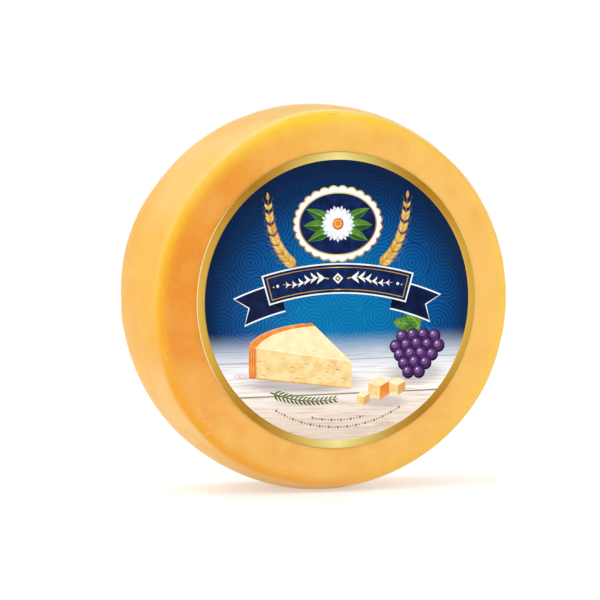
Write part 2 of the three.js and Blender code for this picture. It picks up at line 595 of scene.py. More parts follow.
def scallopShape(middle, halfWidth, halfHeight, lobes, rise, lobeSteps=8):
    # An ellipse whose edge is a row of small round lobes.
    points = []
    for i in range(lobes * lobeSteps):
        angle = 2 * math.pi * i / (lobes * lobeSteps)
        lobe = rise * abs(math.sin(angle * lobes / 2))
        points.append(shifted(
            middle, (halfWidth + lobe) * math.cos(angle), (halfHeight + lobe) * math.sin(angle)))
    return points


def leafShape(base, tip, width, count=9, lean=0.0):
    # A pointed leaf from base to tip. Lean bends it to its left.
    along = Vector(tip) - Vector(base)
    across = leftOf(along).normalized()
    one, other = [], []
    for i in range(count + 1):
        share = i / count
        middle = Vector(base) + along * share + across * lean * math.sin(math.pi * share)
        half = width / 2 * math.sin(math.pi * share ** 0.8) ** 0.85 if 0 < i < count else 0
        one.append(middle + across * half)
        other.append(middle - across * half)
    return other + one[-2:0:-1]


def strokeShape(path, width, endWidth):
    # A thin line along a path, with square ends.
    points = [Vector(p) for p in path]
    left, right = [], []
    for i, point in enumerate(points):
        across = leftOf(points[min(i + 1, len(points) - 1)] - points[max(i - 1, 0)]).normalized()
        half = (width + (endWidth - width) * i / (len(points) - 1)) / 2
        left.append(point + across * half)
        right.append(point - across * half)
    return right + left[::-1]


def diamondShape(middle, size):
    return [shifted(middle, across, up) for across, up in ((size, 0), (0, size), (-size, 0), (0, -size))]


def curvePoints(start, bend, end, count):
    # Points on the smooth curve from start to end that is pulled towards bend.
    a, b, c = Vector(start), Vector(bend), Vector(end)
    shares = [i / count for i in range(count + 1)]
    return [a * (1 - t) ** 2 + b * 2 * t * (1 - t) + c * t * t for t in shares]


def holds(outline, point):
    # Whether a point lies inside an outline.
    inside = False
    for (x1, z1), (x2, z2) in zip(outline, outline[1:] + outline[:1]):
        if (z1 > point.y) != (z2 > point.y) and point.x < (x2 - x1) * (point.y - z1) / (z2 - z1) + x1:
            inside = not inside
    return inside


printed = []  # (ink, outline), each over the ones before it


def lay(ink, outline):
    outline = [tuple(p) for p in outline]
    following = outline[1:] + outline[:1]
    area = sum(a[0] * b[1] - b[0] * a[1] for a, b in zip(outline, following))
    printed.append((ink, outline if area > 0 else outline[::-1]))  # every outline runs the same way round


def layBothSides(ink, outline):
    lay(ink, outline)
    lay(ink, [(-x, z) for x, z in reversed(outline)])


crest = {
    "middle": (0, 47),
    "halfWidth": 27.5,
    "halfHeight": 21.5,
    "lobes": 28,
    "lobeRise": 1.3,
    "foilEdge": 0.9,  # a gold line runs round the lobes
    "foilInset": 2.0,  # and another inside them
    "fieldInset": 2.8,  # round the dark field
    "leaves": [  # tip and base from the crest's middle, and width
        ((22.5, -1), (5, -1), 7.4),
        ((20.5, 9.2), (4, 2), 6.6),
        ((19.5, -10.4), (4, -3), 6.6),
    ],
    "petals": 13,
    "petalLength": 11.5,
    "petalWidth": 4.6,
    "petalRings": [  # inks of the petals and their creases, share of the length, turn in steps
        ("petalShade", "petalDeep", 1.0, 0.5),
        ("white", "petalShade", 0.92, 0.0),
    ],
    "crease": 0.72,  # share of a petal's length
    "heart": 3.7,
    "heartDots": 9,
}


def layCrest():
    middle, width, height = crest["middle"], crest["halfWidth"], crest["halfHeight"]
    for ink, grow in (("goldFoil", crest["foilEdge"]), ("white", 0)):
        lay(ink, scallopShape(middle, width + grow, height + grow, crest["lobes"], crest["lobeRise"]))
    for ink, inset in (("goldFoil", crest["foilInset"]), ("navy", crest["fieldInset"])):
        lay(ink, ellipseShape(middle, width - inset, height - inset, 96))
    for tip, base, size in crest["leaves"]:
        start, end = shifted(middle, *base), shifted(middle, *tip)
        layBothSides("leafGreen", leafShape(start, end, size, 12))
        layBothSides("leafShade", leafShape(start, end, size * 0.45, 12, -size * 0.2))
        layBothSides("leafLight", strokeShape([start, end], 0.5, 0.15))
    for ink, creaseInk, share, turned in crest["petalRings"]:
        reach = crest["petalLength"] * share
        for i in range(crest["petals"]):
            angle = 2 * math.pi * (i + turned) / crest["petals"] + math.pi / 2
            tip = roundFrom(middle, reach, angle)
            lay(ink, leafShape(middle, tip, crest["petalWidth"], 10))
            lay(creaseInk, strokeShape([middle, between(middle, tip, crest["crease"])], 0.45, 0.12))
    heart = crest["heart"]
    lay("rindShade", dotShape(middle, heart, 28))
    lay("rindOrange", dotShape(shifted(middle, -0.35, 0.4), heart * 0.86, 28))
    for i in range(crest["heartDots"]):
        angle = 2 * math.pi * i / crest["heartDots"]
        lay("pasteLight", dotShape(roundFrom(middle, heart * 0.56, angle), 0.34, 10))


wheatEar = {
    "start": (13, 17),
    "bend": (43, 20),
    "end": (45.5, 62),
    "steps": 28,  # along the stem
    "stemWidths": (0.9, 0.5),
    "kernels": 13,
    "firstKernel": 0.30,  # share of the stem below the kernels
    "kernelLength": 6.9,
    "kernelWidth": 3.1,
    "kernelWay": (0.86, 0.52),  # how far a kernel's tip lies onward and aside, in shares of its length
    "shrink": 0.35,  # how much smaller the kernels get towards the top
    "awn": (5.2, 1.6),  # how far an awn runs on from the tip, onward and aside
    "awnWidths": (0.32, 0.12),
    "crown": (5, 2),  # length and width of the topmost kernel
}


def layWheat():
    ear, steps = wheatEar, wheatEar["steps"]
    stem = curvePoints(ear["start"], ear["bend"], ear["end"], steps)
    layBothSides("wheatShade", strokeShape(stem, *ear["stemWidths"]))
    first = int(steps * ear["firstKernel"])
    kernelWay, awnWay = ear["kernelWay"], ear["awn"]
    for k in range(ear["kernels"]):
        at = first + int(k * (steps - first) / ear["kernels"])
        base = stem[at]
        onward = (stem[min(at + 1, steps)] - base).normalized()
        size = 1 - ear["shrink"] * k / ear["kernels"]
        length, width = ear["kernelLength"] * size, ear["kernelWidth"] * size
        for side in (1, -1):
            across = leftOf(onward) * side
            tip = base + onward * length * kernelWay[0] + across * length * kernelWay[1]
            awn = tip + onward * awnWay[0] * size + across * awnWay[1] * size
            shineBase, shineTip = base + (tip - base) * 0.25 + across * 0.2, base + (tip - base) * 0.8
            layBothSides("wheatShade", strokeShape([base, awn], *ear["awnWidths"]))
            layBothSides("wheatGold", leafShape(base, tip, width))
            layBothSides("goldLight", leafShape(shineBase, shineTip, width * 0.32))
    crownLength, crownWidth = ear["crown"]
    onward = (stem[-1] - stem[-3]).normalized()
    layBothSides("wheatGold", leafShape(stem[-1], stem[-1] + onward * crownLength, crownWidth))


ribbon = {
    "arc": 170,  # radius of its arch
    "middleZ": 13.5,
    "halfLength": 47,
    "height": 17,
    "edge": 0.9,  # width of its white edge
    "tuck": 9,  # how far the tails reach in behind the band
    "tailReach": 21,
    "tailDrop": 6.5,
    "notch": 7,
    "lineInset": 1.7,
    "lineHalf": 0.22,  # half the width of the gold lines along it
    "endLine": 0.45,  # and the width of those across its ends
}


def ribbonPoint(along, up):
    # A place on the ribbon's arch, at a length from its middle and a height above its middle line.
    arc = ribbon["arc"] + up
    angle = along / ribbon["arc"]
    return (arc * math.sin(angle), ribbon["middleZ"] - ribbon["arc"] + arc * math.cos(angle))


def ribbonCurve(up, start, end, count=40):
    return [ribbonPoint(start + (end - start) * i / count, up) for i in range(count + 1)]


def ribbonBand(low, high, start, end, count=40):
    return ribbonCurve(low, start, end, count) + ribbonCurve(high, start, end, count)[::-1]


def layRibbon():
    half, length, edge = ribbon["height"] / 2, ribbon["halfLength"], ribbon["edge"]
    drop, inset, line = ribbon["tailDrop"], ribbon["lineInset"], ribbon["lineHalf"]
    inner = length - ribbon["tuck"]
    for grow, ink in ((edge, "white"), (0.0, "navyShade")):
        outer = length + ribbon["tailReach"] + grow
        low, high = -half - drop - grow, half - drop + grow
        notch = ribbonPoint(outer - ribbon["notch"], (low + high) / 2)
        lowSide, highSide = [ribbonCurve(up, inner, outer, 12) for up in (low, high)]
        layBothSides(ink, [*lowSide, notch, *highSide[::-1]])
    layBothSides("foldDark", [*ribbonCurve(-half, inner, length, 4), ribbonPoint(inner, -half - drop)])
    lay("white", ribbonBand(-half - edge, half + edge, -length - edge, length + edge))
    lay("navy", ribbonBand(-half, half, -length, length))
    for up in (-half + inset, half - inset):
        lay("goldFoil", ribbonBand(up - line, up + line, -length + inset, length - inset))
    for end in (-1, 1):
        sides = sorted((end * (length - inset), end * (length - inset - ribbon["endLine"])))
        lay("goldFoil", ribbonBand(-half + inset, half - inset, *sides, 2))
    layFlourish()


flourish = {
    "diamonds": [("white", 3.4), ("navy", 2.0), ("goldLight", 1.1)],
    "stemStart": 6,  # along the ribbon from its middle
    "stemLength": 30,
    "sway": 1.1,  # how far the stem sways up and down
    "halfSways": 2.2,
    "stemWidths": (0.7, 0.3),
    "leafPairs": 6,
    "leafWay": (4.8, 3.8),  # how far a leaf's tip lies along and up
    "leafWidth": 1.7,
    "leafLean": 0.7,
    "shrink": 0.09,  # how much smaller each pair is
    "dots": [("white", 39.5, 0.9, 16), ("goldLight", 42.2, 0.5, 12)],  # ink, along the ribbon, radius, points
    "dotRise": 0.6,
}


def layFlourish():
    steps = 20
    along, up = flourish["leafWay"]
    for ink, size in flourish["diamonds"]:
        lay(ink, diamondShape(ribbonPoint(0, 0), size))
    for side in (-1, 1):
        stem = [ribbonPoint(
            side * (flourish["stemStart"] + flourish["stemLength"] * t / steps),
            flourish["sway"] * math.sin(flourish["halfSways"] * math.pi * t / steps),
        ) for t in range(steps + 1)]
        lay("goldLight", strokeShape(stem, *flourish["stemWidths"]))
        for k in range(flourish["leafPairs"]):
            base = stem[2 + 3 * k]
            size = 1 - flourish["shrink"] * k
            for way in (1, -1):
                tip = shifted(base, side * along * size, way * up * size)
                lean = -side * way * flourish["leafLean"]
                lay("white", leafShape(base, tip, flourish["leafWidth"] * size, 8, lean))
        for ink, place, radius, count in flourish["dots"]:
            lay(ink, dotShape(ribbonPoint(side * place, flourish["dotRise"]), radius, count))


wedge = {
    "tip": (9, -38),
    "backLeft": (-58, -27),
    "backRight": (-17, -13.5),
    "height": 19,
    "tipHeight": 0.86,  # share of the height at the tip
    "bulge": 7,  # how far its back is pushed out
    "bulgeAt": 0.35,  # share of the way along its back
    "rindShare": 4.6 / 62,  # the rind's width over the wedge's length
    # Share of the way across the rind where each streak lies, and share of the way down where it ends.
    "streaks": [(0.16, 0.94), (0.30, 0.81), (0.47, 0.68), (0.60, 0.94), (0.78, 0.81), (0.90, 0.68)],
    "seed": 5,
}

# Grains and small cracks of a crumbly hard cheese, on the wedge's cut side and on its top: how many, the
# shares of the way between which they lie, their size and their tilt in degrees.
sideGrains = {
    "count": 26,
    "along": (0.10, 0.93),
    "down": (0.14, 0.88),
    "size": (0.35, 1.1),
    "tilt": (-30, 20),
}
topGrains = {
    "count": 12,
    "along": (0.15, 0.85),
    "onward": (0.25, 0.85),
    "size": (0.3, 0.8),
    "tilt": -8,
}


def layWedge():
    tip, left, right, rindShare = wedge["tip"], wedge["backLeft"], wedge["backRight"], wedge["rindShare"]
    lowTip = shifted(tip, 0, -wedge["height"] * wedge["tipHeight"])
    lowLeft = shifted(left, 0, -wedge["height"])
    bend = shifted(between(left, right, wedge["bulgeAt"]), -wedge["bulge"], wedge["bulge"])
    back = curvePoints(left, bend, right, 14)
    rindTop, rindLow = between(left, tip, rindShare), between(lowLeft, lowTip, rindShare)
    inner = curvePoints(rindTop, between(bend, tip, rindShare * 1.1), between(right, tip, rindShare), 14)
    lay("pasteLight", [*back, tip])
    lay("rindOrange", [*back, *inner[::-1]])
    lay("rindLight", strokeShape(back[1:-1], 0.7, 0.4))
    lay("paste", [left, lowLeft, lowTip, tip])
    lay("rindOrange", [left, lowLeft, rindLow, rindTop])
    for k, (across, end) in enumerate(wedge["streaks"]):
        high, low = between(left, rindTop, across), between(lowLeft, rindLow, across)
        streak = [between(high, low, 0.06), between(high, low, end)]
        lay("rindLight" if k % 2 else "rindShade", strokeShape(streak, 0.34, 0.12))
    lay("rindShade", strokeShape([lowLeft, rindLow], 0.7, 0.5))
    lay("pasteShade", strokeShape([between(lowLeft, lowTip, 0.06), between(lowLeft, lowTip, 0.99)], 0.9, 0.6))
    lay("pasteGlow", strokeShape([between(left, tip, 0.06), between(left, tip, 0.985)], 0.55, 0.3))
    draw = np.random.default_rng(wedge["seed"])
    for _ in range(sideGrains["count"]):
        along, down = draw.uniform(*sideGrains["along"]), draw.uniform(*sideGrains["down"])
        middle = between(between(left, tip, along), between(lowLeft, lowTip, along), down)
        size = draw.uniform(*sideGrains["size"])
        lay("pasteShade", ellipseShape(middle, size * 1.5, size * 0.6, 12, draw.uniform(*sideGrains["tilt"])))
        lay("pasteGlow", ellipseShape(shifted(middle, -0.2, -size * 0.45), size, size * 0.25, 10))
    for _ in range(topGrains["count"]):
        along, onward = draw.uniform(*topGrains["along"]), draw.uniform(*topGrains["onward"])
        middle = between(between(left, right, along), tip, onward)
        size = draw.uniform(*topGrains["size"])
        lay("paste", ellipseShape(middle, size * 1.8, size * 0.45, 12, topGrains["tilt"]))


cubes = [  # place of the near bottom corner, size, and whether its right face is rind
    ((27.5, -62.0), 10.5, True),
    ((39.5, -59.5), 8.0, False),
    ((17.0, -65.0), 6.5, False),
]
cubeEdges = [(-0.72, 0.26), (0.62, 0.34)]  # how its edges run left and right, in shares of its size
cubeRise = 0.80


def layCube(near, size, hasRind):
    left, right = [shifted(near, across * size, up * size) for across, up in cubeEdges]
    top, topLeft, topRight = [shifted(p, 0, cubeRise * size) for p in (near, left, right)]
    far = (topLeft[0] + topRight[0] - top[0], topLeft[1] + topRight[1] - top[1])
    pit = between(between(left, near, 0.5), top, 0.35)
    lay("paste", [left, near, top, topLeft])
    lay("rindOrange" if hasRind else "pasteShade", [near, right, topRight, top])
    lay("pasteLight", [topLeft, top, topRight, far])
    lay("pasteGlow", strokeShape([topLeft, top, topRight], 0.4, 0.4))
    lay("pasteShade", ellipseShape(pit, size * 0.1, size * 0.04, 10, -20))


grapes = {
    "top": (53, -19),
    "stemBend": (1, 6),  # this and the next four are counted from the bunch's top
    "stemEnd": (6, 9),
    "leafBase": (1, 2),
    "leaves": [((-17, 5), 9.5), ((-12, -7), 8.0), ((-8, 12), 8.0)],  # tip and width
    "firstDrop": 3,
    "stemWidths": (1.3, 1.0),
    "leafEdge": 1.2,
    "veins": (0.35, 0.55, 0.72),  # shares of a leaf's length
    "rows": (4, 5, 4, 3, 2),
    "berry": 4.1,
    "step": 7.1,
    "rowDrop": 5.7,
    "rowLean": -0.78,
    "sag": 0.8,  # how much lower the outer berries of a row hang, for each step
    "shine": [  # ink, place on the berry, half width and half height in shares of the berry, points, tilt
        ("grapeDeep", (0, 0), (1, 1.04), 24, 0),
        ("grape", (-0.4, 0.5), (0.84, 0.86), 22, 0),
        ("grapeLight", (-0.9, 1.1), (0.50, 0.50), 18, 0),
        ("petalShade", (-1.3, 1.7), (0.17, 0.13), 10, 30),
    ],
}


def layGrapeLeaf(base, tip, width):
    lay("leafShade", leafShape(base, tip, width + grapes["leafEdge"], 12))
    lay("leafGreen", leafShape(base, tip, width, 12))
    lay("leafLight", strokeShape([base, between(base, tip, 0.9)], 0.5, 0.2))
    along = (Vector(tip) - Vector(base)).normalized()
    for share in grapes["veins"]:
        middle = Vector(between(base, tip, share))
        for way in (1, -1):
            end = middle + along * width * 0.3 + leftOf(along) * width * 0.32 * way
            lay("leafLight", strokeShape([middle, end], 0.3, 0.12))


def layGrapes():
    top, berry = grapes["top"], grapes["berry"]
    stem = curvePoints(top, shifted(top, *grapes["stemBend"]), shifted(top, *grapes["stemEnd"]), 8)
    lay("stemBrown", strokeShape(stem, *grapes["stemWidths"]))
    for tip, width in grapes["leaves"]:
        layGrapeLeaf(shifted(top, *grapes["leafBase"]), shifted(top, *tip), width)
    for row, count in enumerate(grapes["rows"]):
        for i in range(count):
            fromMiddle = i - (count - 1) / 2
            drop = grapes["firstDrop"] + row * grapes["rowDrop"] + grapes["sag"] * abs(fromMiddle)
            middle = shifted(top, fromMiddle * grapes["step"] + row * grapes["rowLean"], -drop)
            for ink, place, (wide, high), points, tilt in grapes["shine"]:
                lay(ink, ellipseShape(shifted(middle, *place), berry * wide, berry * high, points, tilt))


sprig = {
    "start": (-44, -55.5),
    "bend": (-24, -64),
    "end": (0, -60.5),
    "stemWidths": (0.9, 0.4),
    "needles": 15,
    "needleLength": 5.4,
    "needleWidth": 1.15,
    "needleWay": (0.75, 0.62),  # how far a needle's tip lies onward and aside, in shares of its length
    "needleLean": 0.3,
    "shrink": 0.35,
}


def laySprig():
    stem = curvePoints(sprig["start"], sprig["bend"], sprig["end"], 2 * sprig["needles"] + 2)
    lay("stemBrown", strokeShape(stem, *sprig["stemWidths"]))
    needleWay = sprig["needleWay"]
    for k in range(sprig["needles"]):
        base = stem[2 * k + 2]
        onward = (stem[2 * k + 3] - base).normalized()
        length = sprig["needleLength"] * (1 - sprig["shrink"] * k / sprig["needles"])
        for way, ink in ((1, "leafGreen"), (-1, "leafShade")):
            tip = base + onward * length * needleWay[0] + leftOf(onward) * way * length * needleWay[1]
            lay(ink, leafShape(base, tip, sprig["needleWidth"], 6, way * sprig["needleLean"]))


beads = {
    "rows": [(78.0, 31, 43), (73.6, 13, 17)],  # radius of the row, half its spread in degrees, how many beads
    "diamond": 0.95,  # every third bead is a diamond
    "dot": 0.5,
}


def layBeads():
    # Two curved rows of small beads above the gold edge.
    for radius, spread, count in beads["rows"]:
        for i in range(count):
            angle = math.radians(-spread + 2 * spread * i / (count - 1))
            middle = (radius * math.sin(angle), -radius * math.cos(angle))
            bead = dotShape(middle, beads["dot"], 10) if i % 3 else diamondShape(middle, beads["diamond"])
            lay("taupe", bead)


# Inks. Each is a colour as it shows on screen, with a second tone that it drifts towards.
inkTones = {
    "white": ((250, 250, 248), (236, 238, 240)),
    "navy": ((16, 40, 92), (8, 24, 62)),
    "navyShade": ((10, 30, 74), (6, 18, 50)),
    "foldDark": ((4, 12, 34), (3, 9, 26)),
    "goldLight": ((238, 216, 150), (222, 190, 112)),
    "wheatGold": ((224, 178, 84), (196, 142, 54)),
    "wheatShade": ((168, 118, 44), (140, 94, 34)),
    "leafGreen": ((96, 146, 56), (70, 120, 44)),
    "leafShade": ((52, 98, 40), (38, 80, 34)),
    "leafLight": ((160, 192, 98), (140, 176, 84)),
    "petalShade": ((214, 222, 232), (196, 206, 220)),
    "petalDeep": ((150, 166, 190), (138, 154, 180)),
    "rindOrange": ((240, 152, 70), (224, 126, 52)),
    "rindShade": ((204, 106, 44), (186, 92, 38)),
    "rindLight": ((250, 190, 118), (244, 176, 100)),
    "paste": ((248, 222, 164), (238, 202, 132)),
    "pasteLight": ((253, 238, 196), (248, 226, 172)),
    "pasteShade": ((222, 176, 106), (206, 156, 88)),
    "pasteGlow": ((255, 247, 222), (253, 240, 206)),
    "grape": ((84, 48, 104), (64, 36, 88)),
    "grapeDeep": ((40, 22, 58), (30, 16, 46)),
    "grapeLight": ((132, 92, 150), (112, 74, 134)),
    "stemBrown": ((122, 86, 48), (98, 66, 36)),
    "taupe": ((138, 120, 98), (122, 104, 84)),
}

printFinish = {
    "roughness": 0.36,
    "specularLevel": 0.03,
    "coat": 0.01,
    "coatRoughness": 0.12,
    "shade": 0.80,  # the print takes this share of each ink's screen colour
    "foilShade": 0.70,
    "waveScale": 0.35,
    "waveHeight": 0.05 * mm,
    "waveStrength": 0.25,
}

# Patterns in the print, as patternOf takes them.
printPatterns = {
    "inkDrift": {"fineness": (0.16, 3, 0.55), "shown": (0.35, 0.65)},
    "inkDots": {"fineness": (3.2, 1, 0.5), "shown": (0.45, 0.75), "values": (0, 0.25)},
    "brushed": {"fineness": (2.4, 2, 0.6), "shown": (0.3, 0.7), "values": (0.93, 1.05)},
    "clouds": {"fineness": (0.035, 3, 0.55), "shown": (0.3, 0.7), "values": (0, 0.16)},
    "paleGrain": {
        "stretch": (0.05, 1.6, 1), "fineness": (1, 3, 0.6, 0.8), "shown": (0.55, 0.75), "values": (0, 0.6)},
}


def inkColour(red, green, blue, shade=printFinish["shade"]):
    # A colour as it shows on screen, 0 to 255, as the linear colour that a shader takes.
    values = [c / 255 for c in (red, green, blue)]
    linear = [c / 12.92 if c <= 0.04045 else ((c + 0.055) / 1.055) ** 2.4 for c in values]
    return (*[c * shade for c in linear], 1.0)


def inkOver(tree, share, below, ink):
    return mixOf(tree, share, below, inkColour(*ink))


def inkRamp(tree, share, stops, shade=printFinish["shade"]):
    made = addNode(tree, "ShaderNodeValToRGB")
    feed(tree, made.inputs["Fac"], share)
    elements = made.color_ramp.elements
    while len(elements) < len(stops):
        elements.new(1.0)
    for element, (position, colour) in zip(elements, stops):
        element.position = position
        element.color = inkColour(*colour, shade)
    return made.outputs["Color"]


def printMaterial(name):
    return newMaterial(
        name,
        Roughness=printFinish["roughness"],
        Specular_IOR_Level=printFinish["specularLevel"],
        Coat_Weight=printFinish["coat"],
        Coat_Roughness=printFinish["coatRoughness"],
    )


def printPlace(tree):
    # Millimetres from the label's middle, as a flat place and as its two numbers.
    moved = vectorOf(tree, "SUBTRACT", objectPlace(tree), (axisX, 0, axisZ))
    split = addNode(tree, "ShaderNodeSeparateXYZ")
    feed(tree, split.inputs[0], vectorOf(tree, "MULTIPLY", moved, (1 / mm, 1 / mm, 1 / mm)))
    flat = addNode(tree, "ShaderNodeCombineXYZ")
    feed(tree, flat.inputs[0], split.outputs["X"])
    feed(tree, flat.inputs[1], split.outputs["Z"])
    return flat.outputs[0], split.outputs["X"], split.outputs["Z"]


def lacquerWaves(tree, shader, flat):
    waves = noiseOf(tree, flat, printFinish["waveScale"])
    bumpOf(tree, shader, waves, printFinish["waveHeight"], printFinish["waveStrength"])


def inkMaterial(name):
    first, second = inkTones[name]
    material, tree, shader = printMaterial(name + "Ink")
    flat, _, _ = printPlace(tree)
    drift, dots = [patternOf(tree, flat, **printPatterns[key]) for key in ("inkDrift", "inkDots")]
    colour = inkOver(tree, drift, inkColour(*first), second)
    feed(tree, shader.inputs["Base Color"], inkOver(tree, dots, colour, second))
    lacquerWaves(tree, shader, flat)
    return material


foilStops = [  # share of the way from the top or bottom round to the left or right, and colour on screen
    (0.00, (246, 233, 153)),
    (0.10, (226, 203, 112)),
    (0.28, (196, 150, 57)),
    (0.42, (178, 127, 37)),
    (0.55, (191, 139, 44)),
    (0.75, (214, 167, 64)),
    (1.00, (221, 176, 74)),
]
paintedFoilShade = (-90, 0, 0.86, 1.0)  # painted shade: from the left edge to the middle the foil gets this much lighter


def goldFoilMaterial():
    # Gold that is light at the top and bottom and darkest on the slants between.
    material, tree, shader = newMaterial("goldFoil", Metallic=0.35, Roughness=0.36, Specular_IOR_Level=0.05)
    flat, across, up = printPlace(tree)
    turn = mathOf(tree, "ARCTAN2", mathOf(tree, "ABSOLUTE", across), mathOf(tree, "ABSOLUTE", up))
    colour = inkRamp(tree, mathOf(tree, "DIVIDE", turn, math.pi / 2), foilStops, printFinish["foilShade"])
    brushed = patternOf(tree, flat, **printPatterns["brushed"])
    # The brushed pattern, times the painted shade that darkens the foil towards the left.
    shade = timesOf(tree, brushed, stepOf(tree, across, *paintedFoilShade))
    feed(tree, shader.inputs["Base Color"], mixOf(tree, 1.0, colour, shade, "MULTIPLY"))
    lacquerWaves(tree, shader, flat)
    return material


cardEdge = {
    # the cream is partly the card's own pale core and partly a painted highlight
    "tones": ((255, 240, 190), (250, 226, 166)),
    "gilding": (204, 156, 78),
    "layers": (200, 6000, 200),  # fine layers across the card's thickness
    "gildedFrom": (38, 70),  # heights, up or down, where gilding sets in and where it is whole
}


def cardEdgeMaterial():
    material, tree, shader = newMaterial("cardEdge", Roughness=0.6, Specular_IOR_Level=0.3)
    layers = noiseOf(tree, vectorOf(tree, "MULTIPLY", objectPlace(tree), cardEdge["layers"]), 1.0)
    first, second = cardEdge["tones"]
    # A cream edge, partly the card's pale core and partly a painted highlight, kept to the middle height. It
    # is gilded above and below.
    creamAndHighlight = inkOver(tree, layers, inkColour(*first), second)
    _, _, up = printPlace(tree)
    gilded = stepOf(tree, mathOf(tree, "ABSOLUTE", up), *cardEdge["gildedFrom"])
    feed(tree, shader.inputs["Base Color"], inkOver(tree, gilded, creamAndHighlight, cardEdge["gilding"]))
    return material


backdrop = {
    "horizon": -26.5,  # height where the blue gives way to the boards
    "blend": 9.0,
    "wander": 6,  # how far up and down that line wanders
    "glow": (2, -14),
    "glowReach": 100,
    "blueStops": [  # share of the glow's reach, and colour on screen
        (0.00, (0, 128, 186)),
        (0.30, (0, 120, 178)),
        (0.49, (0, 104, 168)),
        (0.66, (0, 80, 144)),
        (0.84, (4, 47, 88)),
        (0.95, (6, 35, 71)),
    ],
    "rimFrom": 76,  # the blue darkens from here to the gold edge
    "rimShare": 0.5,
    "rimInk": (3, 26, 56),
    "cloudInk": (2, 38, 92),
    "rippleInk": (6, 20, 62),
    "rippleStep": 2.25,
    "rippleCell": 21.0,
    "rippleShares": (0.1, 0.8, 0.34, 0.62),  # the rings are fainter in the glow
    "boardStops": [  # share of the way from the bottom up to the horizon, and colour on screen
        (0.00, (228, 208, 190)),
        (0.35, (246, 232, 220)),
        (0.62, (255, 249, 244)),
        (0.85, (236, 238, 244)),
        (1.00, (186, 198, 214)),
    ],
    "boardsBottom": -84,
    "grainStretch": (0.028, 0.95, 1),
    "grainShares": (0.48, 0.70, 0.0, 0.66),
    "grainInk": (186, 164, 146),
    "paleInk": (252, 249, 246),
    "joints": [(-36.5, 0.30, 0.55), (-57.5, 0.45, 0.85)],  # between the boards: height, width and darkness
    "jointSlope": 0.012,
    "jointInk": (112, 96, 86),
    "knots": [((-62, -45), 6.5, 2.0), ((31, -77), 7.5, 1.9)],  # middle, half width and half height
    "knotRings": 15,  # how close their rings lie
    "knotWaves": 5,  # how much the grain bends them
    "knotInk": (168, 142, 122),
    "shades": [  # on the boards: middle, half width, half height and darkness
        ((-22, -50.5), 46, 7.0, 0.55),
        ((51, -46), 22, 8.0, 0.45),
        ((30, -63), 17, 4.5, 0.40),
        ((-20, -62.5), 30, 3.0, 0.22),
    ],
    "shadeInk": (120, 112, 116),
}


def rippleLines(tree, flat):
    # Faint rings round scattered centres, as on an old engraved ground.
    cells = addNode(tree, "ShaderNodeTexVoronoi", voronoi_dimensions="2D")
    feed(tree, cells.inputs["Vector"], flat)
    feed(tree, cells.inputs["Scale"], 1 / backdrop["rippleCell"])
    feed(tree, cells.inputs["Randomness"], 0.55)
    distance = timesOf(tree, cells.outputs["Distance"], backdrop["rippleCell"])
    turns = timesOf(tree, distance, 2 * math.pi / backdrop["rippleStep"])
    return stepOf(tree, mathOf(tree, "SINE", turns), 0.05, 0.85)


def blueGround(tree, flat):
    glow = vectorOf(tree, "DISTANCE", flat, (*backdrop["glow"], 0))
    glow = mathOf(tree, "DIVIDE", glow, backdrop["glowReach"])
    colour = inkRamp(tree, glow, backdrop["blueStops"])
    fromMiddle = vectorOf(tree, "LENGTH", flat)
    rim = stepOf(tree, fromMiddle, backdrop["rimFrom"], label["ringInner"], 0, backdrop["rimShare"])
    colour = inkOver(tree, rim, colour, backdrop["rimInk"])
    colour = inkOver(tree, patternOf(tree, flat, **printPatterns["clouds"]), colour, backdrop["cloudInk"])
    ripple = timesOf(tree, rippleLines(tree, flat), stepOf(tree, glow, *backdrop["rippleShares"]))
    return inkOver(tree, ripple, colour, backdrop["rippleInk"])


def ovalDistance(tree, flat, middle, halfWidth, halfHeight):
    # 0 in the middle of an oval and 1 on its edge.
    offset = vectorOf(tree, "SUBTRACT", flat, (*middle, 0))
    return vectorOf(tree, "LENGTH", vectorOf(tree, "MULTIPLY", offset, (1 / halfWidth, 1 / halfHeight, 1)))


def boardGround(tree, flat, across, up):
    depth = stepOf(tree, up, backdrop["boardsBottom"], backdrop["horizon"])
    colour = inkRamp(tree, depth, backdrop["boardStops"])
    grain = noiseOf(tree, vectorOf(tree, "MULTIPLY", flat, backdrop["grainStretch"]), 1.0, 4, 0.6, 0.35)
    colour = inkOver(tree, stepOf(tree, grain, *backdrop["grainShares"]), colour, backdrop["grainInk"])
    colour = inkOver(tree, patternOf(tree, flat, **printPatterns["paleGrain"]), colour, backdrop["paleInk"])
    slanted = mathOf(tree, "SUBTRACT", up, timesOf(tree, across, backdrop["jointSlope"]))
    for height, width, darkness in backdrop["joints"]:
        away = mathOf(tree, "ABSOLUTE", mathOf(tree, "SUBTRACT", slanted, height))
        joint = stepOf(tree, away, width * 0.4, width * 1.6, darkness, 0.0)
        colour = inkOver(tree, joint, colour, backdrop["jointInk"])
    for knot in backdrop["knots"]:
        away = ovalDistance(tree, flat, *knot)
        wavy = mathOf(tree, "ADD", timesOf(tree, away, backdrop["knotRings"]),
                      timesOf(tree, grain, backdrop["knotWaves"]))
        rings = stepOf(tree, mathOf(tree, "SINE", wavy), -0.2, 0.9, 0.12, 0.62)
        inside = stepOf(tree, away, 0.55, 1.15, 1.0, 0.0)
        colour = inkOver(tree, timesOf(tree, rings, inside), colour, backdrop["knotInk"])
    for *oval, darkness in backdrop["shades"]:
        shadow = stepOf(tree, ovalDistance(tree, flat, *oval), 0.45, 1.15, darkness, 0.0)
        colour = inkOver(tree, shadow, colour, backdrop["shadeInk"])
    return colour


